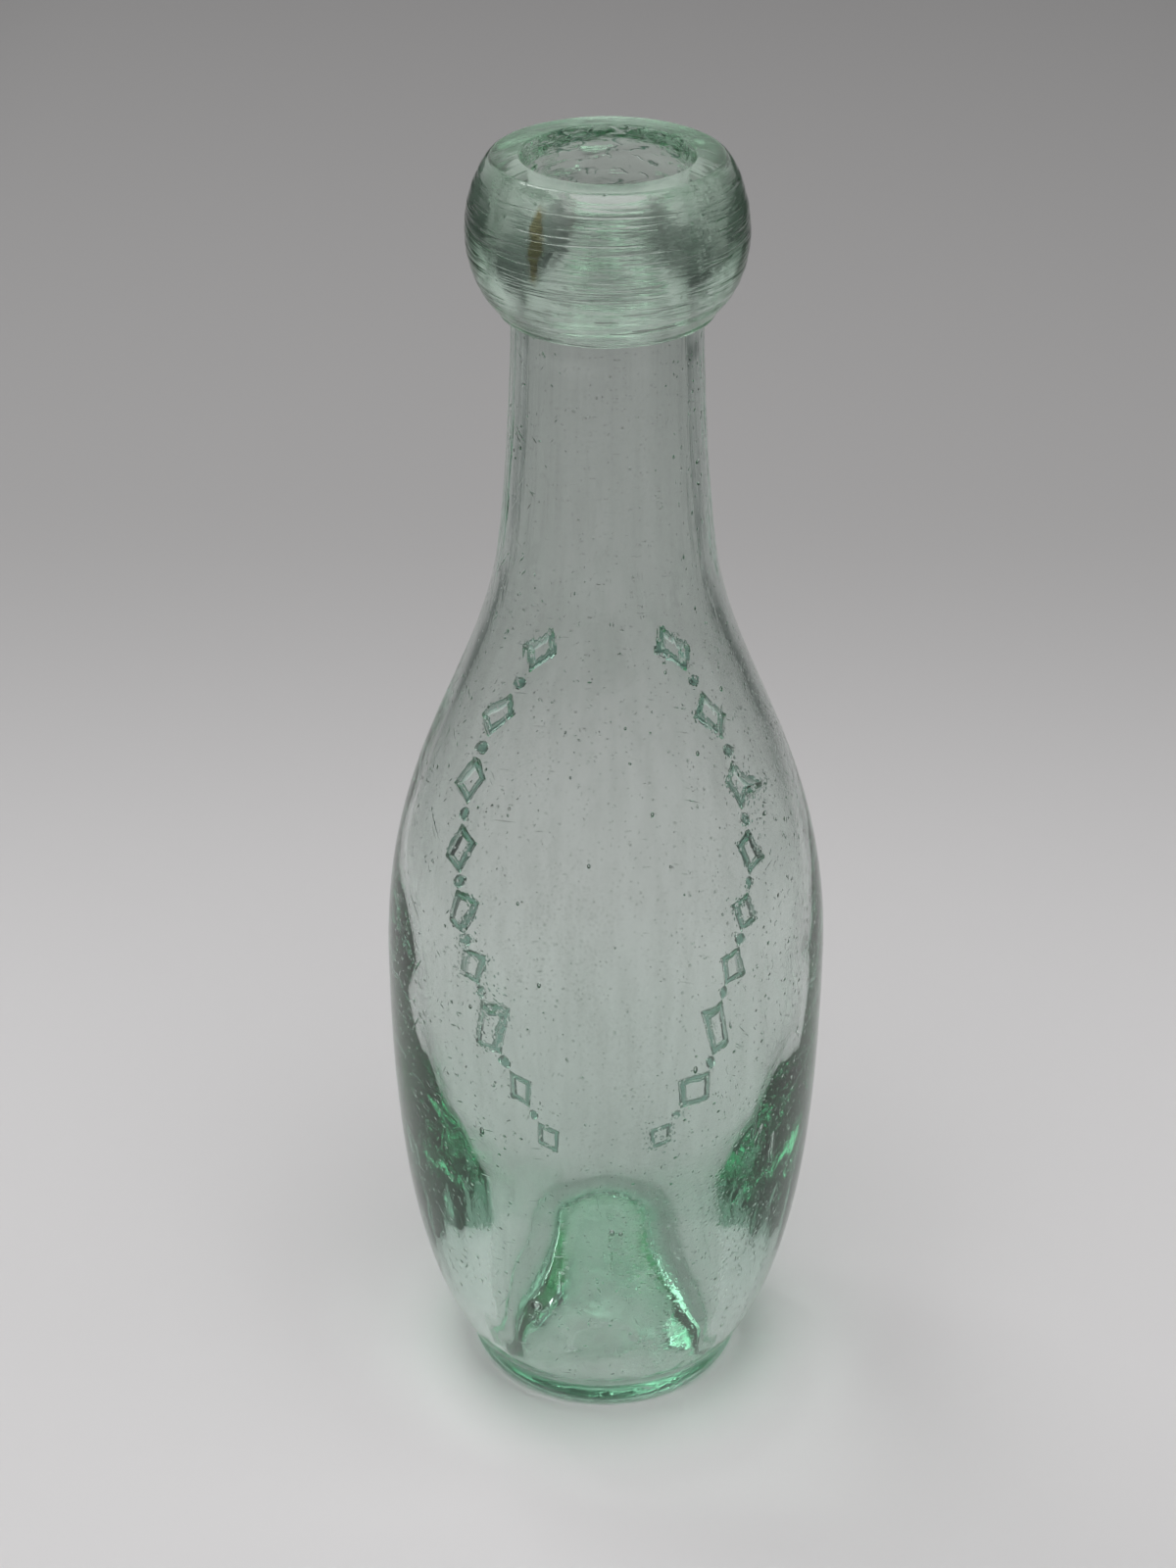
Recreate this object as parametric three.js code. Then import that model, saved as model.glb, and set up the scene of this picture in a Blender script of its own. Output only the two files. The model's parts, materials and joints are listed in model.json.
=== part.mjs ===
// A flat-based mineral-water bottle of aqua glass, with an egg-shaped body and a blob lip.
// The body was blown into a mould as one gather of glass. The lip is a second gather, laid on the
// cracked-off end of the neck and turned to shape, so it is a piece of its own.
// Millimetres, +Z up. The origin is the centre of the standing ring and the bottle's axis is Z.
import * as THREE from 'three';

// Driving dimensions, outside of the body
const HEIGHT = 210; // standing ring to the top of the lip
const STANDING_RADIUS = 20; // outer edge of the ring that the bottle stands on
const KICK_RADIUS = 16; // shallow hollow under the base
const KICK_DEPTH = 0.4;
const FOOT_RADIUS = 22.8; // top of the foot band, where the base plate of the mould ended
const FOOT_HEIGHT = 5.2;
const BELLY_RADIUS = 35; // widest part of the body
const BELLY_HEIGHT = 77.6;
const NECK_ROOT_RADIUS = 16.6; // where the shoulder turns into the neck
const NECK_ROOT_HEIGHT = 148.4;
const NECK_RADIUS = 14.2; // end of the neck, under the lip

// Driving dimensions, inside of the body
const FLOOR_THICKNESS = 3; // glass under the middle of the cavity
const FLOOR_RADIUS = 18.8; // edge of the cavity's floor
const FLOOR_DISH = 7.2; // how far that edge stands above the middle
const BELLY_WALL = 3;
const CAVITY_RISE = 7; // the cavity is widest this far above the belly, because the glass sank
const CAVITY_LEAN = 2.6; // the floor lies this far towards the front, because the glass sank to the back
const LEAN_REACH = 30; // height above the floor over which that lean dies away
const NECK_WALL = 2.6;

// Driving dimensions of the lip
const LIP_HEIGHT = 23.4;
const LIP_RADIUS = 20.7;
const LIP_CROWN = 11.4; // widest part of the lip to its top
const LIP_OVERHANG = 2; // lower edge of the lip, out from the neck
const LIP_EDGE_ROUND = 0.8; // rounding under the lower edge
const RIM_RADIUS = 16.6; // outer edge of the flat rim round the mouth
const MOUTH_RADIUS = 12.9;
const MOUTH_FLARE = 8; // depth over which the mouth narrows to the bore

// How full each stretch of outline is: the length of its handles as a share of its height
const LOWER_BODY_FULLNESS = { start: 0.2, end: 0.39 };
const SHOULDER_FULLNESS = { start: 0.485, end: 0.315 };
const NECK_FULLNESS = { start: 0.32, end: 0.2 };
const CAVITY_FULLNESS = { start: 0.58, end: 0.46 };
const CAVITY_SHOULDER_FULLNESS = { start: 0.43, end: 0.315 };
const FOOT_FLARE = 0.7; // outward slope of the body where it leaves the foot
const CAVITY_FLARE = 0.2; // outward slope of the cavity where it leaves its floor
const NECK_SLOPE = -0.13; // inward slope of the neck at its root

// Fineness of the surfaces
const TURN_STEPS = 48;
const LONG_STEPS = 12;
const SHORT_STEPS = 5;

// Heights and radii that follow from the driving dimensions
const NECK_END = HEIGHT - LIP_HEIGHT; // the flat end that the lip stands on
const BORE_RADIUS = NECK_RADIUS - NECK_WALL;

const point = (radius, height) => new THREE.Vector2(radius, height);
const along = (from, slope, height) => point(from.x + slope * height, from.y + height);

// A smooth stretch of outline, without its last point, which the next stretch starts with.
function stretch(from, fromHandle, toHandle, to, steps) {
  const curve = new THREE.CubicBezierCurve(from, fromHandle, toHandle, to);
  return curve.getPoints(steps).slice(0, -1);
}

// A stretch that leaves its lower end and reaches its upper end at the given slopes (out per up).
function rising(from, slopeAtStart, to, slopeAtEnd, fullness, steps) {
  const rise = to.y - from.y;
  const startHandle = along(from, slopeAtStart, rise * fullness.start);
  const endHandle = along(to, slopeAtEnd, -rise * fullness.end);
  return stretch(from, startHandle, endHandle, to, steps);
}

// A closed outline turned about the bottle's axis, which is Y for the lathe and Z for the bottle.
function turned(outline) {
  return new THREE.LatheGeometry(outline, TURN_STEPS).rotateX(Math.PI / 2);
}

// Moves the inside of a turned wall towards the front (-Y), most of all at the cavity's floor.
function leaned(geometry, pointsPerOutline, firstInside) {
  const places = geometry.attributes.position;
  for (let index = 0; index < places.count; index += 1) {
    const above = (places.getZ(index) - FLOOR_THICKNESS) / LEAN_REACH;
    const isInside = index % pointsPerOutline >= firstInside;
    if (isInside) {
      places.setY(index, places.getY(index) - CAVITY_LEAN * Math.exp(-above * above));
    }
  }
  return geometry;
}

function baseOutline() {
  const middle = point(0, KICK_DEPTH);
  const kickEdge = point(KICK_RADIUS, 0);
  const standingEdge = point(STANDING_RADIUS, 0);
  const footTop = point(FOOT_RADIUS, FOOT_HEIGHT);
  const footCorner = point(STANDING_RADIUS + (FOOT_RADIUS - STANDING_RADIUS) / 2, 0);
  const kickRoof = point(KICK_RADIUS / 2, KICK_DEPTH);
  const kickSide = point(KICK_RADIUS / 2, 0);
  return [
    ...stretch(middle, kickRoof, kickSide, kickEdge, SHORT_STEPS),
    kickEdge,
    ...stretch(standingEdge, footCorner, along(footTop, 0, -FOOT_HEIGHT / 2), footTop, SHORT_STEPS),
  ];
}

function outsideOutline() {
  const footTop = point(FOOT_RADIUS, FOOT_HEIGHT);
  const belly = point(BELLY_RADIUS, BELLY_HEIGHT);
  const neckRoot = point(NECK_ROOT_RADIUS, NECK_ROOT_HEIGHT);
  const neckEnd = point(NECK_RADIUS, NECK_END);
  return [
    ...rising(footTop, FOOT_FLARE, belly, 0, LOWER_BODY_FULLNESS, LONG_STEPS),
    ...rising(belly, 0, neckRoot, NECK_SLOPE, SHOULDER_FULLNESS, LONG_STEPS),
    ...rising(neckRoot, NECK_SLOPE, neckEnd, 0, NECK_FULLNESS, SHORT_STEPS),
    neckEnd,
  ];
}

// The cavity, from the bore down to the middle of its floor.
function cavityOutline() {
  const floorMiddle = point(0, FLOOR_THICKNESS);
  const floorEdge = point(FLOOR_RADIUS, FLOOR_THICKNESS + FLOOR_DISH);
  const widest = point(BELLY_RADIUS - BELLY_WALL, BELLY_HEIGHT + CAVITY_RISE);
  const neckRoot = point(NECK_ROOT_RADIUS - NECK_WALL, NECK_ROOT_HEIGHT);
  const boreEnd = point(BORE_RADIUS, NECK_END);
  const floorTurn = along(floorEdge, CAVITY_FLARE, -FLOOR_DISH);
  const upward = [
    ...stretch(floorMiddle, point(FLOOR_RADIUS / 2, FLOOR_THICKNESS), floorTurn, floorEdge, SHORT_STEPS),
    ...rising(floorEdge, CAVITY_FLARE, widest, 0, CAVITY_FULLNESS, LONG_STEPS),
    ...rising(widest, 0, neckRoot, NECK_SLOPE, CAVITY_SHOULDER_FULLNESS, LONG_STEPS),
    ...rising(neckRoot, NECK_SLOPE, boreEnd, 0, NECK_FULLNESS, SHORT_STEPS),
    boreEnd,
  ];
  return upward.reverse();
}

// The lip is one ring of glass: a flat seat on the neck's end, the blob, the rim and the mouth.
function lipOutline() {
  const edgeRadius = NECK_RADIUS + LIP_OVERHANG;
  const boreBottom = point(BORE_RADIUS, NECK_END);
  const underside = point(edgeRadius - LIP_EDGE_ROUND, NECK_END);
  const edge = point(edgeRadius, NECK_END + LIP_EDGE_ROUND);
  const widest = point(LIP_RADIUS, HEIGHT - LIP_CROWN);
  const rim = point(RIM_RADIUS, HEIGHT);
  const mouth = point(MOUTH_RADIUS, HEIGHT);
  const flareEnd = point(BORE_RADIUS, HEIGHT - MOUTH_FLARE);
  const widestToEdge = widest.y - edge.y;
  const outward = (LIP_RADIUS - edgeRadius) / 2;
  const crownCorner = point(RIM_RADIUS + (LIP_RADIUS - RIM_RADIUS) / 3, HEIGHT);
  const flareCorner = point(BORE_RADIUS + (MOUTH_RADIUS - BORE_RADIUS) / 3, HEIGHT);
  return [
    boreBottom,
    ...stretch(underside, point(edgeRadius, NECK_END), edge, edge, SHORT_STEPS),
    ...stretch(edge, along(edge, 1, outward), along(widest, 0, -widestToEdge / 2), widest, LONG_STEPS),
    ...stretch(widest, along(widest, 0, LIP_CROWN / 2), crownCorner, rim, LONG_STEPS),
    rim,
    ...stretch(mouth, flareCorner, along(flareEnd, 0, MOUTH_FLARE / 2), flareEnd, SHORT_STEPS),
    flareEnd,
    boreBottom.clone(),
  ];
}

function blownBody() {
  const outside = [...baseOutline(), ...outsideOutline()];
  const outline = [...outside, ...cavityOutline()];
  return leaned(turned(outline), outline.length, outside.length);
}

function appliedLip() {
  return turned(lipOutline());
}

function aquaGlass(color) {
  return new THREE.MeshStandardMaterial({
    color,
    roughness: 0.08,
    metalness: 0,
    transparent: true,
    opacity: 0.4,
  });
}

function piece(name, geometry, color) {
  const mesh = new THREE.Mesh(geometry, aquaGlass(color));
  mesh.name = name;
  return mesh;
}

const bottle = new THREE.Group();
bottle.add(piece('blown_body', blownBody(), 0xa9c9bd));
bottle.add(piece('applied_lip', appliedLip(), 0xb4d0c2));

export default bottle;
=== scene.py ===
# %% [markdown]
# # A mineral-water bottle of aqua glass
# The bottle is two gathers of glass: a body blown in a mould, and a lip laid on its neck.
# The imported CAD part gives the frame. Each cell below makes one piece, one finish or one part of
# the studio, and says why it is made that way.

# %% Load the frame
import json
import math

import bpy
from mathutils import Matrix, Vector

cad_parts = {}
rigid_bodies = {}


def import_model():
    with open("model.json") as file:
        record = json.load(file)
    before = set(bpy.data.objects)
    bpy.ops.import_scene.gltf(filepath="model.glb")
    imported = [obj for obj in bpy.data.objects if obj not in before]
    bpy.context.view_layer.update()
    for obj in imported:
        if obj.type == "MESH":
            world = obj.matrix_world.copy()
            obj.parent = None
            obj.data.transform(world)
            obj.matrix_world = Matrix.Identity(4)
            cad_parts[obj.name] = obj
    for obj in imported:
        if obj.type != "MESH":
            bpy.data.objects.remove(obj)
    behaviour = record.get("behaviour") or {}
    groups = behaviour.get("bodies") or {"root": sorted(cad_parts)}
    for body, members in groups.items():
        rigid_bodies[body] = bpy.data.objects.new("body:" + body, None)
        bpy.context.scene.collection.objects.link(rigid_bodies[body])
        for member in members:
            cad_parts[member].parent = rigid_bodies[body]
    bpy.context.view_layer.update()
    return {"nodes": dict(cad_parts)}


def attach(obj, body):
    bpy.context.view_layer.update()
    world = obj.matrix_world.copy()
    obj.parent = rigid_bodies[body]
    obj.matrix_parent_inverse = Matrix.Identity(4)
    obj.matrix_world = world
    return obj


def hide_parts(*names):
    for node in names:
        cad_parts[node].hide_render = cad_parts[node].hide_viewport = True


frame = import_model()
print("CAD nodes:", sorted(frame["nodes"]))

# %% [markdown]
# ## Drawing an outline
# A turned piece is half of its section, as a list of (radius, height) points in millimetres. Each
# smooth stretch is one cubic curve with a handle at each end. A stretch gets its number of steps from
# its length, so the points lie closely enough for the fine waves that come later.

# %% Outline curves


def stretch(start, start_handle, end_handle, end, spacing):
    """Points of a cubic curve, without its last one, which starts the next stretch."""
    steps = max(2, math.ceil(math.dist(start, end) / spacing))
    corners = (start, start_handle, end_handle, end)
    points = []
    for step in range(steps):
        t = step / steps
        weights = ((1 - t) ** 3, 3 * (1 - t) ** 2 * t, 3 * (1 - t) * t * t, t**3)
        points.append(tuple(sum(w * c[axis] for w, c in zip(weights, corners)) for axis in (0, 1)))
    return points


def straight(start, end, spacing):
    return stretch(start, start, end, end, spacing)


def along(point, slope, height):
    """The point that lies this much higher, on a line with this outward slope."""
    return (point[0] + slope * height, point[1] + height)


def rising(start, start_slope, end, end_slope, fullness, spacing):
    """A stretch with a slope at each end; fullness is each handle's share of its height."""
    rise = end[1] - start[1]
    start_handle = along(start, start_slope, rise * fullness[0])
    end_handle = along(end, end_slope, -rise * fullness[1])
    return stretch(start, start_handle, end_handle, end, spacing)


print("a straight of 10 mm at 1 mm:", len(straight((0, 0), (0, 10), 1)), "points")

# %% [markdown]
# ## The outside of the body
# On the real bottle the body is one gather: foot band, egg-shaped belly, shoulder and neck. The mould
# shaped its outside. The outline runs from the middle of the base up to the flat end of the neck,
# which the lip stands on. Heights start at the table. The neck stops a hair short of the lip, so that
# the two glass bodies share no face.

# %% Outside outline
HEIGHT = 210
LIP_HEIGHT = 23.4
NECK_END = HEIGHT - LIP_HEIGHT
SEAM_GAP = 0.04
STANDING_RADIUS = 20
KICK_RADIUS = 16
KICK_DEPTH = 0.4
FOOT_RADIUS = 22.8
FOOT_HEIGHT = 5.2
BELLY_RADIUS = 35
BELLY_HEIGHT = 77.6
NECK_ROOT_RADIUS = 16.6
NECK_ROOT_HEIGHT = 148.4
NECK_RADIUS = 14.2
FOOT_FLARE = 0.7
NECK_SLOPE = -0.13
LOWER_BODY_FULLNESS = (0.2, 0.39)
SHOULDER_FULLNESS = (0.485, 0.315)
NECK_FULLNESS = (0.32, 0.2)
BODY_SPACING = 1.5
FOOT_SPACING = 0.6


def base_outline():
    foot_top = (FOOT_RADIUS, FOOT_HEIGHT)
    corner = (STANDING_RADIUS + (FOOT_RADIUS - STANDING_RADIUS) / 2, 0)
    foot_side = along(foot_top, 0, -FOOT_HEIGHT / 2)
    kick_roof = (KICK_RADIUS / 2, KICK_DEPTH)
    kick_side = (KICK_RADIUS / 2, 0)
    return [
        *stretch((0, KICK_DEPTH), kick_roof, kick_side, (KICK_RADIUS, 0), BODY_SPACING),
        *straight((KICK_RADIUS, 0), (STANDING_RADIUS, 0), BODY_SPACING),
        *stretch((STANDING_RADIUS, 0), corner, foot_side, foot_top, FOOT_SPACING),
    ]


def side_outline():
    foot_top = (FOOT_RADIUS, FOOT_HEIGHT)
    belly = (BELLY_RADIUS, BELLY_HEIGHT)
    neck_root = (NECK_ROOT_RADIUS, NECK_ROOT_HEIGHT)
    neck_end = (NECK_RADIUS, NECK_END - SEAM_GAP)
    return [
        *rising(foot_top, FOOT_FLARE, belly, 0, LOWER_BODY_FULLNESS, BODY_SPACING),
        *rising(belly, 0, neck_root, NECK_SLOPE, SHOULDER_FULLNESS, BODY_SPACING),
        *rising(neck_root, NECK_SLOPE, neck_end, 0, NECK_FULLNESS, BODY_SPACING),
        neck_end,
    ]


outside = [*base_outline(), *side_outline()]
print("outside:", len(outside), "points up to", round(outside[-1][1], 2), "mm")

# %% [markdown]
# ## The inside of the body
# Air and gravity shaped the inside. The hot glass sank, so the cavity is widest above the belly, and
# the heel and the lower wall are thick: they make the green bell and the dark wedges that the glass
# shows. The cavity is drawn upwards like the outside, and then turned round to finish the section.

# %% Cavity outline
FLOOR_THICKNESS = 3
FLOOR_RADIUS = 18.8
FLOOR_DISH = 7.2
BELLY_WALL = 3
CAVITY_RISE = 7
NECK_WALL = 2.6
BORE_RADIUS = NECK_RADIUS - NECK_WALL
CAVITY_FLARE = 0.2
CAVITY_FULLNESS = (0.58, 0.46)
CAVITY_SHOULDER_FULLNESS = (0.43, 0.315)


def cavity_outline():
    floor_middle = (0, FLOOR_THICKNESS)
    floor_handle = (FLOOR_RADIUS / 2, FLOOR_THICKNESS)
    floor_edge = (FLOOR_RADIUS, FLOOR_THICKNESS + FLOOR_DISH)
    floor_turn = along(floor_edge, CAVITY_FLARE, -FLOOR_DISH)
    widest = (BELLY_RADIUS - BELLY_WALL, BELLY_HEIGHT + CAVITY_RISE)
    neck_root = (NECK_ROOT_RADIUS - NECK_WALL, NECK_ROOT_HEIGHT)
    bore_end = (BORE_RADIUS, NECK_END - SEAM_GAP)
    upward = [
        *stretch(floor_middle, floor_handle, floor_turn, floor_edge, BODY_SPACING / 2),
        *rising(floor_edge, CAVITY_FLARE, widest, 0, CAVITY_FULLNESS, BODY_SPACING),
        *rising(widest, 0, neck_root, NECK_SLOPE, CAVITY_SHOULDER_FULLNESS, BODY_SPACING),
        *rising(neck_root, NECK_SLOPE, bore_end, 0, NECK_FULLNESS, BODY_SPACING),
        bore_end,
    ]
    return upward[::-1]


cavity = cavity_outline()
print("cavity:", len(cavity), "points, bore radius", round(BORE_RADIUS, 2), "mm")

# %% [markdown]
# ## Turning a piece
# A lathe shape could be built from stacked and scaled rings. Here one point is extruded along the
# outline and the line is spun round the axis, which keeps the whole section in one list. Where the
# line starts or ends on the axis, the spin leaves many points in one place, so doubles are merged,
# and then the normals are made to point outwards. MM turns millimetres into Blender's metres.

# %% Spin the body
MM = 0.001
MERGE_DISTANCE = 1e-6
BODY_TURNS = 176


def spun(name, outline, turns):
    """A new object made by spinning an outline of (radius, height) points, in mm, about Z."""
    bpy.ops.object.select_all(action="DESELECT")
    bpy.ops.mesh.primitive_plane_add(size=MM)
    piece = bpy.context.object
    piece.name = piece.data.name = name
    places = [Vector((radius * MM, 0, height * MM)) for radius, height in outline]
    bpy.ops.object.mode_set(mode="EDIT")
    bpy.ops.mesh.select_mode(type="VERT")
    bpy.ops.mesh.merge(type="CENTER")
    bpy.ops.transform.translate(value=places[0])
    for here, there in zip(places, places[1:]):
        bpy.ops.mesh.extrude_vertices_move(TRANSFORM_OT_translate={"value": there - here})
    bpy.ops.mesh.select_all(action="SELECT")
    bpy.ops.mesh.spin(steps=turns, angle=2 * math.pi, center=(0, 0, 0), axis=(0, 0, 1))
    bpy.ops.mesh.select_all(action="SELECT")
    bpy.ops.mesh.remove_doubles(threshold=MERGE_DISTANCE)
    bpy.ops.mesh.normals_make_consistent(inside=False)
    bpy.ops.object.mode_set(mode="OBJECT")
    print(name, len(piece.data.vertices), "points", len(piece.data.polygons), "faces")
    return piece


body = spun("blown_body_glass", [*outside, *cavity], BODY_TURNS)

# %% [markdown]
# ## Groups of points
# The waves of hand-made glass differ from place to place, and vertex groups say where each wave acts.
# Painting them by hand would be slow, so a point's weight is worked out from its place. A point
# belongs to the cavity if it is nearer the axis than the middle of the wall.

# %% Group helpers
FLOOR_CLEARANCE = 1


def radius_at(outline, height):
    """The radius of an outline at a height, read between its two nearest points."""
    for (r0, z0), (r1, z1) in zip(outline, outline[1:]):
        if z0 != z1 and min(z0, z1) <= height <= max(z0, z1):
            return r0 + (r1 - r0) * (height - z0) / (z1 - z0)
    return 0


def weigh(piece, name, weight):
    """Adds a vertex group in which each point's weight is a function of its place in mm."""
    group = piece.vertex_groups.new(name=name)
    for point in piece.data.vertices:
        share = weight(point.co / MM)
        if share > 0:
            group.add([point.index], min(share, 1), "REPLACE")
    return name


def ring(place):
    return math.hypot(place.x, place.y)


def clamped(value):
    return max(0.0, min(1.0, value))


def hump(value, middle, width):
    """1 at the middle, falling smoothly to nothing."""
    return math.exp(-(((value - middle) / width) ** 2))


def in_cavity(place):
    if place.z < FLOOR_THICKNESS - FLOOR_CLEARANCE:
        return False
    wall_middle = (radius_at(outside, place.z) + radius_at(cavity, place.z)) / 2
    return ring(place) < wall_middle


belly_wall = radius_at(outside, BELLY_HEIGHT) - radius_at(cavity, BELLY_HEIGHT)
print("wall at the belly:", round(belly_wall, 2), "mm")

# %% [markdown]
# The mould kept the outside fair, the cavity is wavier, its lower half has streaks, and the floor and
# heel are lumpy. The lean moves the cavity's floor to the front, because the glass sank to the back.
# Near the end of the neck the weights stop, so that the neck still meets the lip.

# %% Groups of the body
LEAN_REACH = 30
FLOOR_REACH = 9
HEEL_REACH = 3.5
STREAK_TOP = 60
STREAK_FADE = 20
CALM_BORE = 5
CALM_NECK = 3
HEEL_HEIGHT = FLOOR_THICKNESS + FLOOR_DISH


def cavity_weight(place):
    return 1.0 if in_cavity(place) and place.z < NECK_END - CALM_BORE else 0.0


def streak_weight(place):
    return 1.0 - clamped((place.z - STREAK_TOP) / STREAK_FADE) if in_cavity(place) else 0.0


def lean_weight(place):
    return hump(place.z, FLOOR_THICKNESS, LEAN_REACH) if in_cavity(place) else 0.0


def floor_weight(place):
    return hump(place.z, HEEL_HEIGHT, FLOOR_REACH) if in_cavity(place) else 0.0


def heel_weight(place):
    return hump(place.z, HEEL_HEIGHT, HEEL_REACH) if in_cavity(place) else 0.0


def outside_weight(place):
    is_calm = place.z < FOOT_HEIGHT or place.z > NECK_END - CALM_NECK
    return 0.0 if in_cavity(place) or is_calm else 1.0


body_groups = [
    weigh(body, "cavity", cavity_weight),
    weigh(body, "streaks", streak_weight),
    weigh(body, "lean", lean_weight),
    weigh(body, "floor", floor_weight),
    weigh(body, "heel", heel_weight),
    weigh(body, "outside", outside_weight),
]
print("groups of the body:", body_groups)

# %% [markdown]
# ## Waves in the glass
# Displace modifiers push the points along their normals by a cloud texture. An empty that is scaled
# gives the texture its stretch: long in height for streaks, flat for the rings of a turning tool.
# Each modifier is applied at once, so the finished mesh carries no modifiers. Bump in the material
# could not do this, because waves this large also bend the outline and what is seen through it.

# %% Waves of the body
CAVITY_LEAN = 2.6
CLOUD_DETAIL = 2


def displaced(piece, group, depth, grain=None, stretched=(1, 1, 1), direction="NORMAL"):
    """Moves a group's points by up to depth mm, by clouds of grain mm, or all alike without a grain."""
    bpy.ops.object.select_all(action="DESELECT")
    guide = bpy.data.objects.new("guide", None)
    bpy.context.collection.objects.link(guide)
    guide.scale = stretched
    bpy.context.view_layer.update()
    wave = piece.modifiers.new("wave", "DISPLACE")
    wave.direction = direction
    wave.vertex_group = group
    wave.strength = depth * MM
    wave.mid_level = 0.5 if grain else 0.0
    if grain:
        clouds = bpy.data.textures.new("clouds", "CLOUDS")
        clouds.noise_scale = grain * MM
        clouds.noise_depth = CLOUD_DETAIL
        wave.texture = clouds
        wave.texture_coords = "OBJECT"
        wave.texture_coords_object = guide
    bpy.context.view_layer.objects.active = piece
    piece.select_set(True)
    bpy.ops.object.modifier_apply(modifier=wave.name)
    bpy.data.objects.remove(guide)
    print(piece.name, "moved by", depth, "mm in", group)


displaced(body, "lean", depth=-CAVITY_LEAN, direction="Y")
displaced(body, "cavity", depth=0.5, grain=18, stretched=(1, 1, 2.5))
displaced(body, "streaks", depth=0.05, grain=3, stretched=(1, 1, 8))
displaced(body, "floor", depth=1.2, grain=9)
displaced(body, "heel", depth=0.4, grain=3)
displaced(body, "outside", depth=0.14, grain=14, stretched=(1, 1, 2))

# %% [markdown]
# ## Raised marks
# The mould left raised marks on the back of the body, in two columns that bow outwards. Here they are
# lozenge frames with a bead between each two. One frame and one bead are modelled, to be copied later.
# A cutter leaves sloping sides in a mould, so the frame is a ridge: its outer edge is bevelled, and
# an inset that is pushed down slopes its inner side. Bump would be quicker, but it would not show at
# the edge of the glass.

# %% One lozenge and one bead
LOZENGE_SIDES = 4
LOZENGE_LENGTH = 9.4
LOZENGE_WIDTH = 7.6
BEAD_SIDES = 12
BEAD_WIDTH = 2.4
MARK_HEIGHT = 2.6
MARK_PROUD = 1.15
MARK_BEVEL = 0.5
BEVEL_STEPS = 3
FRAME_WIDTH = 0.3
HOLLOW_SLOPE = 0.5
HOLLOW_DEPTH = 1.1
UPWARD = 0.5
STRAIGHT_UP = 0.99


def select_faces(piece, test):
    """Leaves edit mode on with only the faces selected whose centre and normal pass the test."""
    bpy.ops.object.mode_set(mode="EDIT")
    bpy.ops.mesh.select_mode(type="FACE")
    bpy.ops.mesh.select_all(action="DESELECT")
    bpy.ops.object.mode_set(mode="OBJECT")
    for face in piece.data.polygons:
        face.select = test(face.center, face.normal)
    bpy.ops.object.mode_set(mode="EDIT")


def mark(sides, width, length):
    """A low prism with a bevelled top that lies across Z, sunk so far that MARK_PROUD stays above."""
    bpy.ops.object.select_all(action="DESELECT")
    middle = (0, 0, (MARK_PROUD - MARK_HEIGHT / 2) * MM)
    size = {"radius": width * MM / 2, "depth": MARK_HEIGHT * MM}
    bpy.ops.mesh.primitive_cylinder_add(vertices=sides, location=middle, **size)
    piece = bpy.context.object
    bpy.ops.object.transform_apply(location=True)
    bpy.ops.object.mode_set(mode="EDIT")
    bpy.ops.transform.resize(value=(1, length / width, 1))
    select_faces(piece, lambda centre, normal: normal.z > UPWARD)
    bpy.ops.mesh.bevel(offset=MARK_BEVEL * MM, segments=BEVEL_STEPS, affect="EDGES")
    bpy.ops.object.mode_set(mode="OBJECT")
    return piece


lozenge = mark(LOZENGE_SIDES, LOZENGE_WIDTH, LOZENGE_LENGTH)
select_faces(lozenge, lambda centre, normal: normal.z > STRAIGHT_UP)
bpy.ops.mesh.inset(thickness=FRAME_WIDTH * MM)
bpy.ops.mesh.inset(thickness=HOLLOW_SLOPE * MM)
bpy.ops.transform.translate(value=(0, 0, -HOLLOW_DEPTH * MM))
bpy.ops.object.mode_set(mode="OBJECT")
bead = mark(BEAD_SIDES, BEAD_WIDTH, BEAD_WIDTH)
print("lozenge", len(lozenge.data.polygons), "faces, bead", len(bead.data.polygons), "faces")

# %% [markdown]
# A column is widest at one height and closes in above and below it. The place of a mark needs three
# directions: along the column, out of the wall, and across. They become the axes of its matrix.

# %% Columns of marks
COLUMN_BOTTOM = 17
COLUMN_TOP = 121
COLUMN_COUNT = 9
COLUMN_PITCH = (COLUMN_TOP - COLUMN_BOTTOM) / (COLUMN_COUNT - 1)
BOW_HEIGHT = 79
BOW_ANGLE = 49
UPPER_BOW = 0.0125
LOWER_BOW = 0.0052


def column_place(side, height):
    """A point on the back of the wall, in mm, on the left (-1) or right (1) column."""
    bow = UPPER_BOW if height > BOW_HEIGHT else LOWER_BOW
    angle = side * math.radians(BOW_ANGLE - bow * (height - BOW_HEIGHT) ** 2)
    radius = radius_at(outside, height)
    return Vector((radius * math.sin(angle), radius * math.cos(angle), height))


def stand_on_wall(original, side, height):
    piece = original.copy()
    piece.data = original.data.copy()
    bpy.context.collection.objects.link(piece)
    place = column_place(side, height)
    length = (column_place(side, height + 1) - column_place(side, height - 1)).normalized()
    round_axis = Vector((place.y, -place.x, 0)).normalized()
    out = length.cross(round_axis).normalized()
    if out.dot(Vector((place.x, place.y, 0))) < 0:
        out = -out
    turn = Matrix((length.cross(out), length, out)).transposed().to_4x4()
    piece.matrix_world = Matrix.Translation(place * MM) @ turn
    return piece


marks = []
for side in (-1, 1):
    for number in range(COLUMN_COUNT):
        height = COLUMN_BOTTOM + number * COLUMN_PITCH
        marks.append(stand_on_wall(lozenge, side, height))
        if number < COLUMN_COUNT - 1:
            marks.append(stand_on_wall(bead, side, height + COLUMN_PITCH / 2))
bpy.data.objects.remove(lozenge)
bpy.data.objects.remove(bead)
print(len(marks), "marks, a lozenge each", COLUMN_PITCH, "mm")

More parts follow.
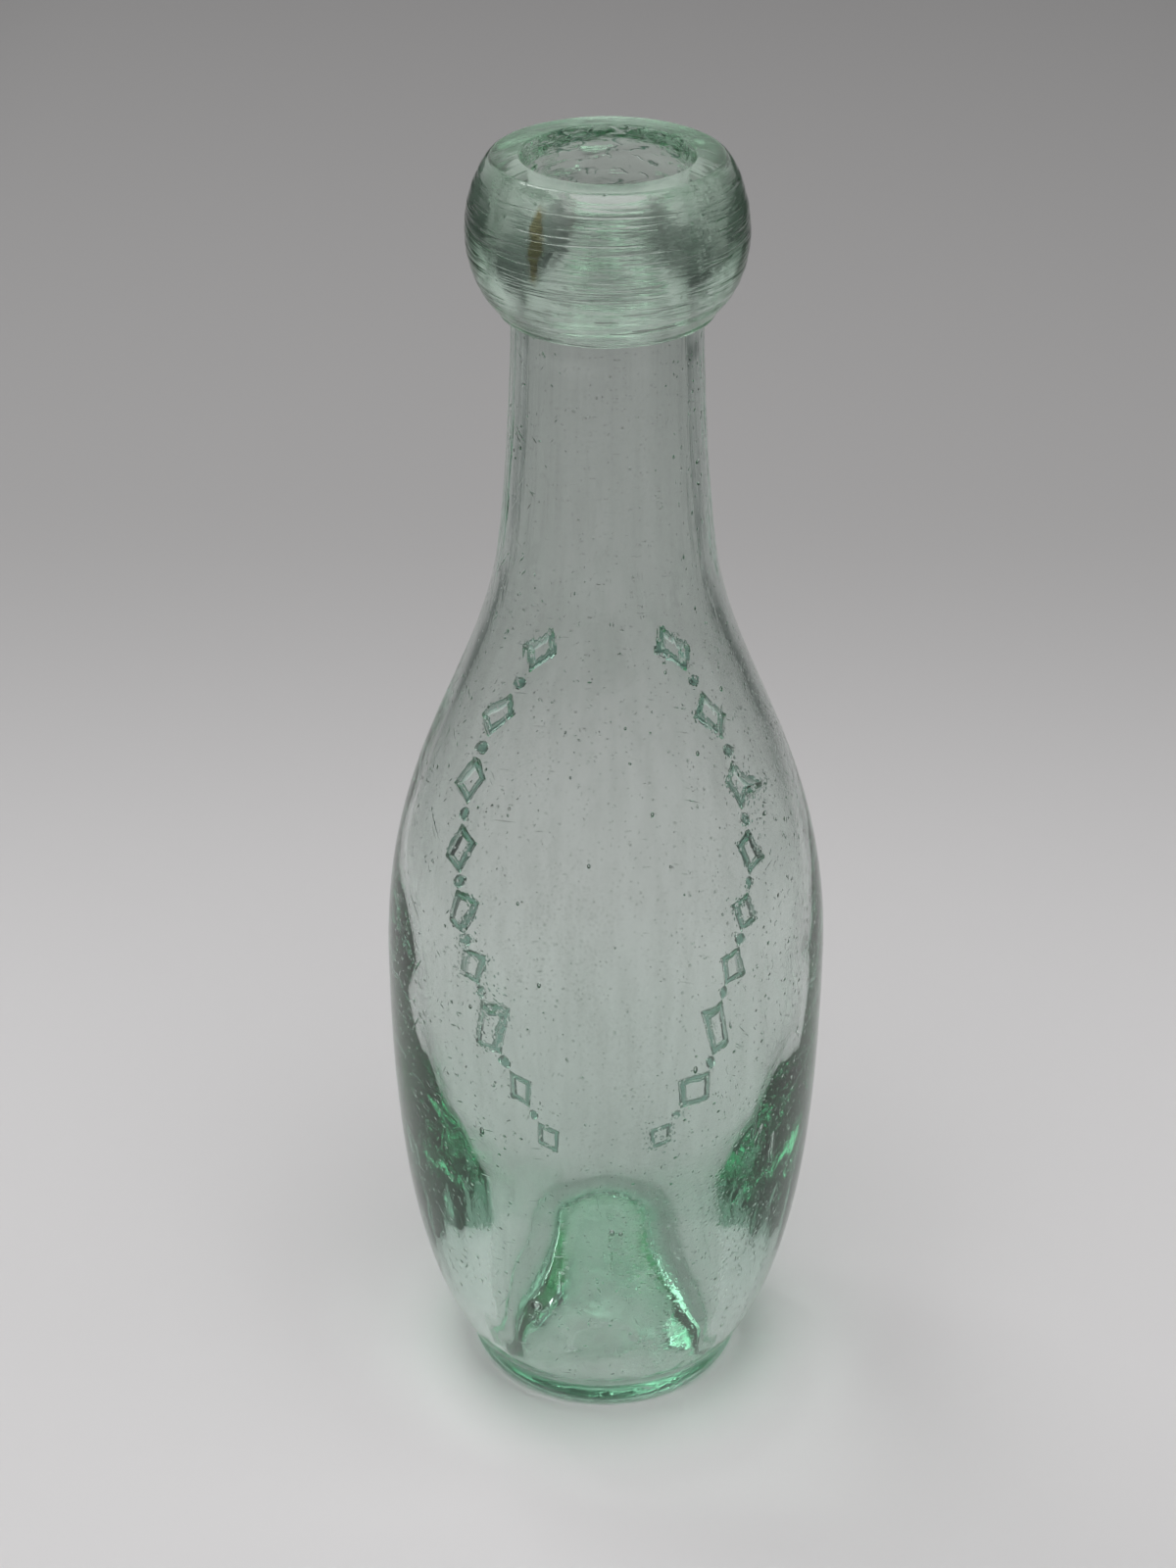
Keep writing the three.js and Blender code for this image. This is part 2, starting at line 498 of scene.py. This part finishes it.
# %% [markdown]
# On the real bottle the marks are one with the wall. Marks that only sat on it would leave faces
# inside the glass, and light would bend there. So all of them are joined into one object, and a
# Boolean union melts it into the body and leaves a single closed skin.

# %% Melt the marks into the wall
bpy.ops.object.select_all(action="DESELECT")
for piece in marks:
    piece.select_set(True)
relief = marks[0]
bpy.context.view_layer.objects.active = relief
bpy.ops.object.join()
bpy.ops.object.transform_apply(location=True, rotation=True, scale=True)
melt = body.modifiers.new("melt", "BOOLEAN")
melt.operation = "UNION"
melt.solver = "MANIFOLD"
melt.object = relief
bpy.ops.object.select_all(action="DESELECT")
bpy.context.view_layer.objects.active = body
body.select_set(True)
bpy.ops.object.modifier_apply(modifier=melt.name)
bpy.data.objects.remove(relief)
print("body with marks:", len(body.data.polygons), "faces")

# %% [markdown]
# The marks are painted a darker green than the wall: painted shade for the dark that thick glass bends
# into their edges. No pattern in the material can find them, but the mesh
# can: an attribute keeps a share for each point, from 0 on the smooth wall to 1 on top of a mark.

# %% Attribute of the marks
PROUD_START = 0.2
PROUD_FULL = 0.5

proud = body.data.attributes.new("proud", "FLOAT", "POINT")
for point in body.data.vertices:
    place = point.co / MM
    height_over_wall = ring(place) - radius_at(outside, place.z) if place.z > FOOT_HEIGHT else 0
    share = (height_over_wall - PROUD_START) / (PROUD_FULL - PROUD_START)
    proud.data[point.index].value = clamped(share)
print("points on marks:", sum(1 for entry in proud.data if entry.value > 0))

# %% [markdown]
# ## Bubbles
# Air was caught in the wall: one long tear, a few round bubbles and many seeds. A bubble is a closed
# shell inside the wall whose faces point into the bubble, so the glass round it stays one solid.
# Each is shaped from a sphere, tapered in its upper half, drawn long, and set between the outside and
# the cavity.

# %% Bubbles in the lower wall
FINE_BUBBLE = 3
bubbles = []


def wall_place(angle, height, share):
    """A point in the wall at an angle from the front; share 0 is the outside and 1 the cavity."""
    turn = math.radians(angle)
    way = Vector((math.sin(turn), -math.cos(turn), 0))
    lean = Vector((0, -CAVITY_LEAN * hump(height, FLOOR_THICKNESS, LEAN_REACH), 0))
    outer = way * radius_at(outside, height)
    inner = way * radius_at(cavity, height) + lean
    return outer.lerp(inner, share) + Vector((0, 0, height))


def bubble(angle, height, share, width, length, taper=1.0, fineness=FINE_BUBBLE):
    bpy.ops.object.select_all(action="DESELECT")
    place = wall_place(angle, height, share) * MM
    bpy.ops.mesh.primitive_ico_sphere_add(subdivisions=fineness, radius=width * MM / 2, location=place)
    piece = bpy.context.object
    select_faces(piece, lambda centre, normal: centre.z > 0)
    bpy.ops.transform.resize(value=(taper, taper, 1), center_override=place)
    bpy.ops.mesh.select_all(action="SELECT")
    bpy.ops.transform.resize(value=(1, 1, length / width), center_override=place)
    bpy.ops.mesh.flip_normals()
    bpy.ops.object.mode_set(mode="OBJECT")
    bubbles.append(piece)


bubble(angle=53, height=52, share=0.35, width=1.9, length=6.4, taper=0.7)
bubble(angle=-22, height=26, share=0.3, width=1.9, length=2.1)
bubble(angle=2, height=44, share=0.3, width=0.9, length=1.2)
bubble(angle=4.5, height=43.6, share=0.35, width=0.7, length=0.8)
bubble(angle=-35, height=60, share=0.5, width=0.8, length=1.6)
bubble(angle=24, height=74, share=0.5, width=0.7, length=1.4)
print(len(bubbles), "bubbles")

# %% [markdown]
# Seeds are the many tiny bubbles of old glass. The golden angle spreads them round the wall, and two
# strides that share no factor with their counts mix the heights and the widths without random numbers,
# so every run gives the same bottle. All the shells are then joined to the body.

# %% Seeds, and all bubbles joined to the body
SEED_COUNT = 70
GOLDEN_ANGLE = 137.5
SEED_BOTTOM = 18
SEED_STEP = 1.75
SEED_SHARE = 0.5
HEIGHT_STRIDE = 53
WIDTH_STRIDE = 29
WIDTH_COUNT = 11
SEED_WIDTH = 0.3
SEED_SPREAD = 0.35
SEED_STRETCH = 1.4
COARSE_BUBBLE = 2

for number in range(SEED_COUNT):
    height = SEED_BOTTOM + (number * HEIGHT_STRIDE % SEED_COUNT) * SEED_STEP
    width = SEED_WIDTH + SEED_SPREAD * (number * WIDTH_STRIDE % WIDTH_COUNT) / (WIDTH_COUNT - 1)
    length = width * SEED_STRETCH
    bubble(number * GOLDEN_ANGLE, height, SEED_SHARE, width, length, fineness=COARSE_BUBBLE)

bpy.ops.object.select_all(action="DESELECT")
for piece in bubbles:
    piece.select_set(True)
body.select_set(True)
bpy.context.view_layer.objects.active = body
bpy.ops.object.join()
print(len(bubbles), "bubbles and seeds; body", len(body.data.polygons), "faces")

# %% [markdown]
# ## The applied lip
# The lip was a blob of hot glass, turned against the neck with a tool that left rings round it. It is
# spun like the body, but its outline closes on itself: a flat seat on the end of the neck, a rounded
# lower edge, the blob, a flat rim and the flared mouth. Its points lie closer than the body's, because
# the tool's rings are fine.

# %% Lip outline
LIP_RADIUS = 20.7
LIP_CROWN = 11.4
LIP_OVERHANG = 2
LIP_EDGE_ROUND = 0.8
RIM_RADIUS = 16.6
MOUTH_RADIUS = 12.9
MOUTH_FLARE = 8
LIP_SPACING = 0.35
LIP_TURNS = 176


def lip_outline():
    edge_radius = NECK_RADIUS + LIP_OVERHANG
    bore_bottom = (BORE_RADIUS, NECK_END)
    underside = (edge_radius - LIP_EDGE_ROUND, NECK_END)
    edge_corner = (edge_radius, NECK_END)
    edge = (edge_radius, NECK_END + LIP_EDGE_ROUND)
    widest = (LIP_RADIUS, HEIGHT - LIP_CROWN)
    rim = (RIM_RADIUS, HEIGHT)
    mouth = (MOUTH_RADIUS, HEIGHT)
    flare_end = (BORE_RADIUS, HEIGHT - MOUTH_FLARE)
    above_edge = along(edge, 1, (LIP_RADIUS - edge_radius) / 2)
    below_widest = along(widest, 0, (edge[1] - widest[1]) / 2)
    above_widest = along(widest, 0, LIP_CROWN / 2)
    crown_corner = (RIM_RADIUS + (LIP_RADIUS - RIM_RADIUS) / 3, HEIGHT)
    flare_corner = (BORE_RADIUS + (MOUTH_RADIUS - BORE_RADIUS) / 3, HEIGHT)
    above_flare = along(flare_end, 0, MOUTH_FLARE / 2)
    return [
        *straight(bore_bottom, underside, LIP_SPACING),
        *stretch(underside, edge_corner, edge, edge, LIP_SPACING / 2),
        *stretch(edge, above_edge, below_widest, widest, LIP_SPACING),
        *stretch(widest, above_widest, crown_corner, rim, LIP_SPACING),
        *straight(rim, mouth, LIP_SPACING),
        *stretch(mouth, flare_corner, above_flare, flare_end, LIP_SPACING),
        *straight(flare_end, bore_bottom, LIP_SPACING),
        bore_bottom,
    ]


lip = spun("applied_lip_glass", lip_outline(), LIP_TURNS)

# %% [markdown]
# The lip's groups follow the way it was made. The tool turned the blob, the rim sagged a little, the
# bore was left rough, its back cooled in wrinkles, and a fold runs round the lower right front. The
# seat on the neck stays flat.

# %% Groups of the lip
BLOB_MARGIN = 1.2
CALM_CROWN = 2
RIM_DEPTH = 4
BORE_MARGIN = 0.2
CALM_SEAT = 1
WRINKLE_FADE = 6
CREASE_HEIGHT = 3.2
CREASE_CLIMB = 0.02
CREASE_WIDTH = 0.45
CREASE_ANGLE = 25
CREASE_SPREAD = 40


def blob_weight(place):
    return 1.0 if ring(place) > NECK_RADIUS + BLOB_MARGIN and place.z < HEIGHT - CALM_CROWN else 0.0


def rim_weight(place):
    return 1.0 if place.z > HEIGHT - RIM_DEPTH else 0.0


def bore_weight(place):
    return 1.0 if ring(place) < MOUTH_RADIUS - BORE_MARGIN and NECK_END + CALM_SEAT < place.z else 0.0


def wrinkle_weight(place):
    return bore_weight(place) * clamped(place.y / WRINKLE_FADE)


def crease_weight(place):
    turn = math.degrees(math.atan2(place.x, -place.y))
    climb = NECK_END + CREASE_HEIGHT + CREASE_CLIMB * turn
    share = hump(place.z, climb, CREASE_WIDTH) * hump(turn, CREASE_ANGLE, CREASE_SPREAD)
    return share if ring(place) > NECK_RADIUS else 0.0


lip_groups = [
    weigh(lip, "blob", blob_weight),
    weigh(lip, "rim", rim_weight),
    weigh(lip, "bore", bore_weight),
    weigh(lip, "wrinkles", wrinkle_weight),
    weigh(lip, "crease", crease_weight),
]
print("groups of the lip:", lip_groups)

# %% [markdown]
# The first wave is squashed flat in height, so its clouds become the rings of the tool. The others are
# slow swells and the wrinkles of the bore, and the fold is a plain push inwards. Smooth shading by
# angle then keeps only the real edges sharp on both pieces.

# %% Waves of the lip, and smooth shading
SMOOTH_ANGLE = 40

displaced(lip, "blob", depth=0.16, grain=28, stretched=(1, 1, 0.045))
displaced(lip, "blob", depth=0.25, grain=12, stretched=(1, 1, 0.5))
displaced(lip, "rim", depth=0.3, grain=14)
displaced(lip, "bore", depth=0.12, grain=6)
displaced(lip, "wrinkles", depth=0.4, grain=2, stretched=(2, 2, 0.7))
displaced(lip, "crease", depth=-0.25)

for glass in (body, lip):
    bpy.ops.object.select_all(action="DESELECT")
    bpy.context.view_layer.objects.active = glass
    glass.select_set(True)
    bpy.ops.object.shade_smooth_by_angle(angle=math.radians(SMOOTH_ANGLE))
    print(glass.name, "smooth below", SMOOTH_ANGLE, "degrees")

# %% [markdown]
# ## Shader sums
# Materials are easier to read as sums than as wires. Value wraps one output socket, and its operators
# add Math nodes. The reflected forms let a plain number stand on the left.

# %% Values in sums


class Value:
    """An output socket that can be used in arithmetic."""

    def __init__(self, recipe, socket):
        self.recipe = recipe
        self.socket = socket

    def reckon(self, operation, *others):
        """The result of a Math node whose first value is this one."""
        values = dict(enumerate((self, *others)))
        return self.recipe.node("ShaderNodeMath", {"operation": operation}, values)

    def __add__(self, other):
        return self.reckon("ADD", other)

    __radd__ = __add__

    def __sub__(self, other):
        return self.reckon("SUBTRACT", other)

    def __rsub__(self, other):
        return self.recipe.node("ShaderNodeMath", {"operation": "SUBTRACT"}, {0: other, 1: self})

    def __mul__(self, other):
        return self.reckon("MULTIPLY", other)

    __rmul__ = __mul__

    def __gt__(self, other):
        return self.reckon("GREATER_THAN", other)

    def __lt__(self, other):
        return self.reckon("LESS_THAN", other)


# %% [markdown]
# Recipe holds the node tree of a material or a world. Its node method adds any other node, and its
# fill method sets the sockets of the nodes that Blender puts into a new tree.

# %% Recipe of nodes


class Recipe:
    """The nodes of a material or a world, and the means to add to them."""

    def __init__(self, owner):
        owner.use_nodes = True
        self.owner = owner
        self.tree = owner.node_tree

    def put(self, socket, value):
        if isinstance(value, Value):
            self.tree.links.new(value.socket, socket)
        else:
            socket.default_value = value

    def node(self, kind, settings=None, sockets=None, out=0):
        """Adds a node, makes its settings, fills its sockets and gives one output as a Value."""
        node = self.tree.nodes.new(kind)
        for name, value in (settings or {}).items():
            setattr(node, name, value)
        for key, value in (sockets or {}).items():
            self.put(node.inputs[key], value)
        return Value(self, node.outputs[out])

    def fill(self, node_name, **sockets):
        """Sets or links sockets of a node that was there from the start."""
        for name, value in sockets.items():
            self.put(self.tree.nodes[node_name].inputs[name.replace("_", " ")], value)


# %% [markdown]
# ## Patterns on a surface
# All patterns read Object coordinates, so they stay where they are on the piece. A Mapping node of the
# Texture type turns the place and divides it by a size, so a pattern can be long in any direction: the
# stretch makes scratches of round spots, and streaks or rings of clouds.

# %% Clouds and spots


def place_of(recipe, size=(1, 1, 1), turn=(0, 0, 0)):
    """The place on the piece in turned axes, measured in units of a size in metres."""
    spot = recipe.node("ShaderNodeTexCoord", out="Object")
    sockets = {"Vector": spot, "Rotation": turn, "Scale": size}
    return recipe.node("ShaderNodeMapping", {"vector_type": "TEXTURE"}, sockets)


def axis_of(recipe, place, axis):
    return recipe.node("ShaderNodeSeparateXYZ", None, {"Vector": place}, out=axis)


def clouds_on(recipe, grain, stretched=(1, 1, 1), turn=(0, 0, 0)):
    """Soft noise with a grain in mm; the stretch makes it longer along an axis."""
    size = tuple(grain * MM * longer for longer in stretched)
    sockets = {"Vector": place_of(recipe, size, turn), "Scale": 1.0}
    return recipe.node("ShaderNodeTexNoise", None, sockets)


def spots_on(recipe, spacing, width, stretched=(1, 1, 1), turn=(0, 0, 0)):
    """Scattered spots, or lines where stretched: 1 in the middle of each and 0 outside it."""
    size = tuple(spacing * MM * longer for longer in stretched)
    sockets = {"Vector": place_of(recipe, size, turn), "Scale": 1.0}
    distance = recipe.node("ShaderNodeTexVoronoi", None, sockets, out="Distance")
    return (1 - distance * (spacing / width)).reckon("MAXIMUM", 0.0)


# %% [markdown]
# Three more helpers finish a pattern. A ramp says where it acts, a bump turns heights into a normal,
# and a mix lays one colour over another.

# %% Ramps, bumps and mixes


def ramp(recipe, value, start, end):
    """0 up to the start and 1 from the end on, with soft ends."""
    sockets = {"Value": value, "From Min": start, "From Max": end}
    return recipe.node("ShaderNodeMapRange", {"interpolation_type": "SMOOTHSTEP"}, sockets)


def uneven(recipe, height):
    """The normal of a surface with this height, in mm."""
    return recipe.node("ShaderNodeBump", None, {"Height": height, "Distance": MM, "Strength": 1.0})


def mixed(recipe, share, first, second):
    """The first colour, with a share of the second."""
    settings = {"data_type": "RGBA", "clamp_factor": True}
    return recipe.node("ShaderNodeMix", settings, {0: share, 6: first, 7: second}, out=2)


# %% [markdown]
# ## The glass
# The colour of this glass comes from iron all through it, so it grows with the way that light goes
# inside: a thin wall is nearly clear and a thick heel is green. Painting the surface green would tint
# both alike, so the surface is nearly clear and a volume takes red light away. The lip is a second
# gather, a little yellower.

# %% Glass of both gathers
GLASS_INDEX = 1.52
GLASS_DENSITY = 23.0
BODY_TINT = (0.25, 0.675, 0.475, 1)
LIP_TINT = (0.27, 0.675, 0.40, 1)
CLEAR = (0.92, 0.935, 0.925, 1)


def glass_recipe(name, tint):
    recipe = Recipe(bpy.data.materials.new(name))
    recipe.fill("Principled BSDF", Transmission_Weight=1.0, IOR=GLASS_INDEX)
    absorbed = {"Color": tint, "Density": GLASS_DENSITY}
    recipe.fill("Material Output", Volume=recipe.node("ShaderNodeVolumeAbsorption", None, absorbed))
    return recipe


body_glass = glass_recipe("body_glass", BODY_TINT)
lip_glass = glass_recipe("lip_glass", LIP_TINT)
print("finishes:", [recipe.owner.name for recipe in (body_glass, lip_glass)])

# %% [markdown]
# The body's skin is an old bottle's: a faint orange-peel texture, draw marks up the neck, pits,
# scratches in three directions, haze where it rubbed, and cords, the faint upright streaks of uneven
# glass. Each gives height to the bump, dirt to the colour, or both. The raised marks take a painted
# darker
# green from their attribute: painted shade for the dark that their thick edges bend into view.

# %% Skin of the body
GRIME = (0.30, 0.33, 0.28, 1)
MARK_PAINTED_SHADE = (0.08, 0.24, 0.17, 1)
SCRATCH_SIZES = {"spacing": 1.7, "width": 0.17, "stretched": (1, 1, 16)}
SCRATCH_TURNS = ((0.5, 0.3, 0), (-0.9, 0.4, 0.6), (1.4, -0.2, 1.1))
DRAW_START = 126
DRAW_FULL = 160
PEEL_HEIGHT = 0.004
DRAW_HEIGHT = 0.12
PIT_DEPTH = 0.1
SCRATCH_DEPTH = 0.06
HAZE_DEPTH = 0.02
PIT_DIRT = 0.9
SCRATCH_DIRT = 0.8
HAZE_DIRT = 0.3
CORD_DIRT = 0.12

peel = clouds_on(body_glass, grain=2.2)
height_up = axis_of(body_glass, place_of(body_glass), "Z")
up_the_neck = ramp(body_glass, height_up, DRAW_START * MM, DRAW_FULL * MM)
draw = clouds_on(body_glass, grain=2.0, stretched=(1, 1, 20)) * up_the_neck
pits = spots_on(body_glass, spacing=3.1, width=0.34)
worn = ramp(body_glass, clouds_on(body_glass, grain=24, stretched=(1, 1, 2)), start=0.5, end=0.7)
haze = spots_on(body_glass, spacing=1.0, width=0.35) * worn
scratches = sum(spots_on(body_glass, turn=turn, **SCRATCH_SIZES) for turn in SCRATCH_TURNS)
cords = ramp(body_glass, clouds_on(body_glass, grain=2.6, stretched=(1, 1, 25)), start=0.45, end=0.75)
on_marks = body_glass.node("ShaderNodeAttribute", {"attribute_name": "proud"}, out="Fac")

raised = PEEL_HEIGHT * peel + DRAW_HEIGHT * draw
body_height = raised - PIT_DEPTH * pits - SCRATCH_DEPTH * scratches - HAZE_DEPTH * haze
body_dirt = PIT_DIRT * pits + SCRATCH_DIRT * scratches + HAZE_DIRT * haze + CORD_DIRT * cords
# Painted shade: the raised marks are painted a darker green.
clear_with_painted_marks = mixed(body_glass, on_marks, CLEAR, MARK_PAINTED_SHADE)
body_glass.fill(
    "Principled BSDF",
    Base_Color=mixed(body_glass, body_dirt, clear_with_painted_marks, GRIME),
    Roughness=0.0,
    Normal=uneven(body_glass, body_height),
)
print("body_glass:", len(body_glass.tree.nodes), "nodes")

# %% [markdown]
# The lip's skin shows the tool. Rings of two sizes and broken grooves run round it, slightly slanted.
# The mouth has dark wrinkles in its back half, and painted shade in a band round the top of its edge,
# darkest at the back. To find these places, the axes are turned to face a rust streak on the left
# front, and the distance from the bottle's axis is worked out from two of them.

# %% Places on the lip
RUST_ANGLE = -30
MOUTH_MARGIN = 0.1
GROOVE_MARGIN = 1
MOUTH_SHADE_DEPTH = 1
MOUTH_SHADE_REACH = 3
MOUTH_SHADE_START = -4
MOUTH_SHADE_FULL = 8


def band(value, middle, reach):
    """1 at the middle of a band, falling evenly to 0 at its edges; in mm."""
    offset = (value - middle * MM).reckon("ABSOLUTE")
    return (1 - offset * (1 / (reach * MM))).reckon("MAXIMUM", 0.0)


faced = place_of(lip_glass, turn=(0, 0, math.radians(RUST_ANGLE)))
right, back, up = (axis_of(lip_glass, faced, axis) for axis in "XYZ")
from_axis = (right * right + back * back).reckon("SQRT")
in_mouth = (back > 0.0) * (from_axis < (MOUTH_RADIUS + MOUTH_MARGIN) * MM)
on_blob = (from_axis > (NECK_RADIUS + GROOVE_MARGIN) * MM) * (up < (HEIGHT - CALM_CROWN) * MM)
on_front = (back < 0.0) * (from_axis > NECK_RADIUS * MM)
at_the_back = ramp(lip_glass, back, MOUTH_SHADE_START * MM, MOUTH_SHADE_FULL * MM)
# Painted shade: a dark band painted round the top of the mouth, strongest at the back.
mouth_painted_shade = band(up, HEIGHT - MOUTH_SHADE_DEPTH, MOUTH_SHADE_REACH) * at_the_back * (from_axis < RIM_RADIUS * MM)
print("mouth within", MOUTH_RADIUS + MOUTH_MARGIN, "mm of the axis")

# %% [markdown]
# With the places known, the patterns are put together as on the body. Wrinkles and grooves are wavy
# lines: the places where a cloud passes through its middle value. The rust is a narrow upright band
# whose strength is broken up by clouds, so that its edge is ragged.

# %% Skin of the lip
CLOUD_MIDDLE = 0.5
DARK_GREEN = (0.05, 0.15, 0.10, 1)
RUST = (0.40, 0.27, 0.11, 1)
RUST_HEIGHT = 202.5
RUST_REACH = 8
RUST_WIDTH = 2.0
RUST_STRENGTH = 7
RUST_LOSS = 0.7
RING_SLANT = (0.03, 0.02, 0)
BROAD_RING_HEIGHT = 0.05
RING_HEIGHT = 0.045
SWIRL_HEIGHT = 0.02
LIP_PIT_DEPTH = 0.06
WRINKLE_DEPTH = 0.1
GROOVE_DEPTH = 0.1
LIP_PIT_DIRT = 0.7
MOUTH_SHADE_STRENGTH = 0.55
GROOVE_DIRT = 0.5
LIP_ROUGHNESS = 0.08


def wavy_lines_on(recipe, grain, thinness, stretched=(1, 1, 1)):
    """Thin wavy lines where soft noise passes through its middle value."""
    offset = (clouds_on(recipe, grain, stretched) - CLOUD_MIDDLE).reckon("ABSOLUTE")
    return (1 - offset * thinness).reckon("MAXIMUM", 0.0)


broad_rings = clouds_on(lip_glass, grain=1.4, stretched=(30, 30, 1), turn=RING_SLANT)
rings = clouds_on(lip_glass, grain=0.4, stretched=(40, 40, 1), turn=RING_SLANT)
swirl = clouds_on(lip_glass, grain=3.0)
lip_pits = spots_on(lip_glass, spacing=3.5, width=0.4)
broken = ramp(lip_glass, clouds_on(lip_glass, grain=2.0), start=0.45, end=0.6)
wrinkles = wavy_lines_on(lip_glass, grain=1.8, thinness=30, stretched=(3, 3, 1)) * broken * in_mouth
patchy = ramp(lip_glass, clouds_on(lip_glass, grain=2.5, stretched=(3, 3, 1)), start=0.4, end=0.6)
grooves = wavy_lines_on(lip_glass, grain=1.2, thinness=16, stretched=(30, 30, 1)) * patchy * on_blob

tooled = BROAD_RING_HEIGHT * broad_rings + RING_HEIGHT * rings + SWIRL_HEIGHT * swirl
lip_height = tooled - LIP_PIT_DEPTH * lip_pits - WRINKLE_DEPTH * wrinkles - GROOVE_DEPTH * grooves
# Dirt in the pits, wrinkles and grooves, plus the painted shade round the mouth.
lip_dirt_and_shade = LIP_PIT_DIRT * lip_pits + wrinkles + MOUTH_SHADE_STRENGTH * mouth_painted_shade + GROOVE_DIRT * grooves
streak = band(right, 0, RUST_WIDTH) * band(up, RUST_HEIGHT, RUST_REACH) * on_front
rust = RUST_STRENGTH * streak * clouds_on(lip_glass, grain=1.2, stretched=(1, 1, 2))
rusted = mixed(lip_glass, rust - RUST_LOSS, CLEAR, RUST)
lip_glass.fill(
    "Principled BSDF",
    Base_Color=mixed(lip_glass, lip_dirt_and_shade, rusted, DARK_GREEN),
    Roughness=LIP_ROUGHNESS,
    Normal=uneven(lip_glass, lip_height),
)
print("lip_glass:", len(lip_glass.tree.nodes), "nodes")

# %% [markdown]
# ## Joining the pieces to the part
# Each piece gets its finish, rides on the part's one rigid body and takes the place of its CAD node.

# %% Finish, ride and replace
for piece, finish in ((body, body_glass), (lip, lip_glass)):
    piece.data.materials.clear()
    piece.data.materials.append(finish.owner)
    print(piece.name, "has", piece.data.materials[0].name)

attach(body, "root")
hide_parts("blown_body")
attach(lip, "root")
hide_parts("applied_lip")

# %% [markdown]
# ## The floor
# Glass shows what is round it. The bottle stands on a wide pale floor with a painted falloff of light.
# It is painted greyer behind the bottle. To the sides and towards the viewer it is painted a darker
# grey outside
# the picture: painted shade as in a studio with one lamp over the table, because thick glass bends that
# dark into its edges. A dark card at each side would do the same, but it would stand in the picture
# when the bottle is seen from the side.

# %% Floor
FLOOR_SIZE = 16.0
FLOOR_DROP = 0.1
PAPER = (0.80, 0.785, 0.79, 1)
FAR_PAINTED_SHADE = (0.54, 0.53, 0.53, 1)
SIDE_PAINTED_SHADE = (0.22, 0.24, 0.23, 1)
FAR_START, FAR_END = 0.07, 0.35
SIDE_START, SIDE_END = 0.18, 0.44

bpy.ops.object.select_all(action="DESELECT")
bpy.ops.mesh.primitive_plane_add(size=FLOOR_SIZE, location=(0, 0, -FLOOR_DROP * MM))
floor = bpy.context.object
floor.name = "pale_floor"
paper = Recipe(bpy.data.materials.new("pale_paper"))
across, behind = (axis_of(paper, place_of(paper), axis) for axis in "XY")
# Painted shade: the paper is painted greyer behind the bottle, and darker grey to the sides and towards
# the viewer.
far = ramp(paper, behind, FAR_START, FAR_END)
side_painted_shade = ramp(paper, across.reckon("ABSOLUTE"), SIDE_START, SIDE_END)
# Painted shade towards the viewer, made by the same ramp as at the sides.
before = ramp(paper, -1 * behind, SIDE_START, SIDE_END)
paper_with_far_shade = mixed(paper, far, PAPER, FAR_PAINTED_SHADE)
paper_with_painted_shade = mixed(paper, side_painted_shade.reckon("MAXIMUM", before), paper_with_far_shade, SIDE_PAINTED_SHADE)
paper.fill("Principled BSDF", Base_Color=paper_with_painted_shade, Roughness=0.8, Specular_IOR_Level=0.2)
floor.data.materials.append(paper.owner)
print("floor", FLOOR_SIZE, "m wide")

# %% [markdown]
# ## The lamps
# One big soft lamp hangs above and a little in front, so the shadow round the foot stays faint. A small
# lamp behind adds sparkle. A track rotation points each lamp's -Z axis at the bottle.

# %% Lamps


def soft_lamp(name, place, size, watts):
    bpy.ops.object.light_add(type="AREA", location=place)
    lamp = bpy.context.object
    lamp.name = name
    lamp.data.shape = "RECTANGLE"
    lamp.data.size, lamp.data.size_y = size
    lamp.data.energy = watts
    lamp.rotation_euler = (-Vector(place)).to_track_quat("-Z", "Y").to_euler()


soft_lamp("big_soft_lamp", place=(0, -0.35, 1.0), size=(1.2, 1.0), watts=8.4)
soft_lamp("back_lamp", place=(-0.5, 0.5, 1.3), size=(0.5, 0.5), watts=3.2)

# %% [markdown]
# ## The room
# The room is dim towards the viewer, and bright low down at the back, where the thick lip gathers its
# light from. An even sky would be simpler, but it would light the lip from all sides alike. The world's
# Generated coordinate is the direction of a ray, so ramps on its Y and Z say how far back and how high
# the ray goes.

# %% Room
FRONT_GLOW = 0.09
BACK_GLOW = 0.46
BACK_START, BACK_END = -0.1, 0.9
HIGH_START, HIGH_END = 0.25, 0.6

room = Recipe(bpy.data.worlds.new("dim_room"))
direction = room.node("ShaderNodeTexCoord", out="Generated")
backward = ramp(room, axis_of(room, direction, "Y"), BACK_START, BACK_END)
upward = ramp(room, axis_of(room, direction, "Z"), HIGH_START, HIGH_END)
glow = FRONT_GLOW + BACK_GLOW * backward * (1 - upward)
room.fill("Background", Color=(1, 1, 1, 1), Strength=glow)
bpy.context.scene.world = room.owner
print("room:", len(room.tree.nodes), "nodes")

# %% [markdown]
# ## The camera
# The photograph was taken from above with a long lens. Its place was worked out from the outline of
# the bottle: the distance and height in metres, the tilt, and a small turn that puts the bottle a
# little right of the middle. Light is turned back many times in thick glass, so it gets many bounces:
# a ray that runs out of them turns black. The filter that softens glossy light is off.

# %% Camera
CAMERA_DISTANCE = 0.4787
CAMERA_HEIGHT = 0.3751
CAMERA_TILT = 29.26
CAMERA_TURN = 0.34
LENS = 80.19
SENSOR = 36
BOUNCES = 64

bpy.ops.object.camera_add(location=(0, -CAMERA_DISTANCE, CAMERA_HEIGHT))
camera = bpy.context.object
camera.rotation_euler = (math.radians(90 - CAMERA_TILT), 0, math.radians(CAMERA_TURN))
camera.data.lens = LENS
camera.data.sensor_width = SENSOR
scene = bpy.context.scene
scene.camera = camera
scene.view_settings.view_transform = "Standard"
scene.cycles.max_bounces = BOUNCES
scene.cycles.transmission_bounces = BOUNCES
scene.cycles.glossy_bounces = BOUNCES
scene.cycles.blur_glossy = 0.0
print("camera", round(camera.location.length, 3), "m from the foot, lens", LENS, "mm")
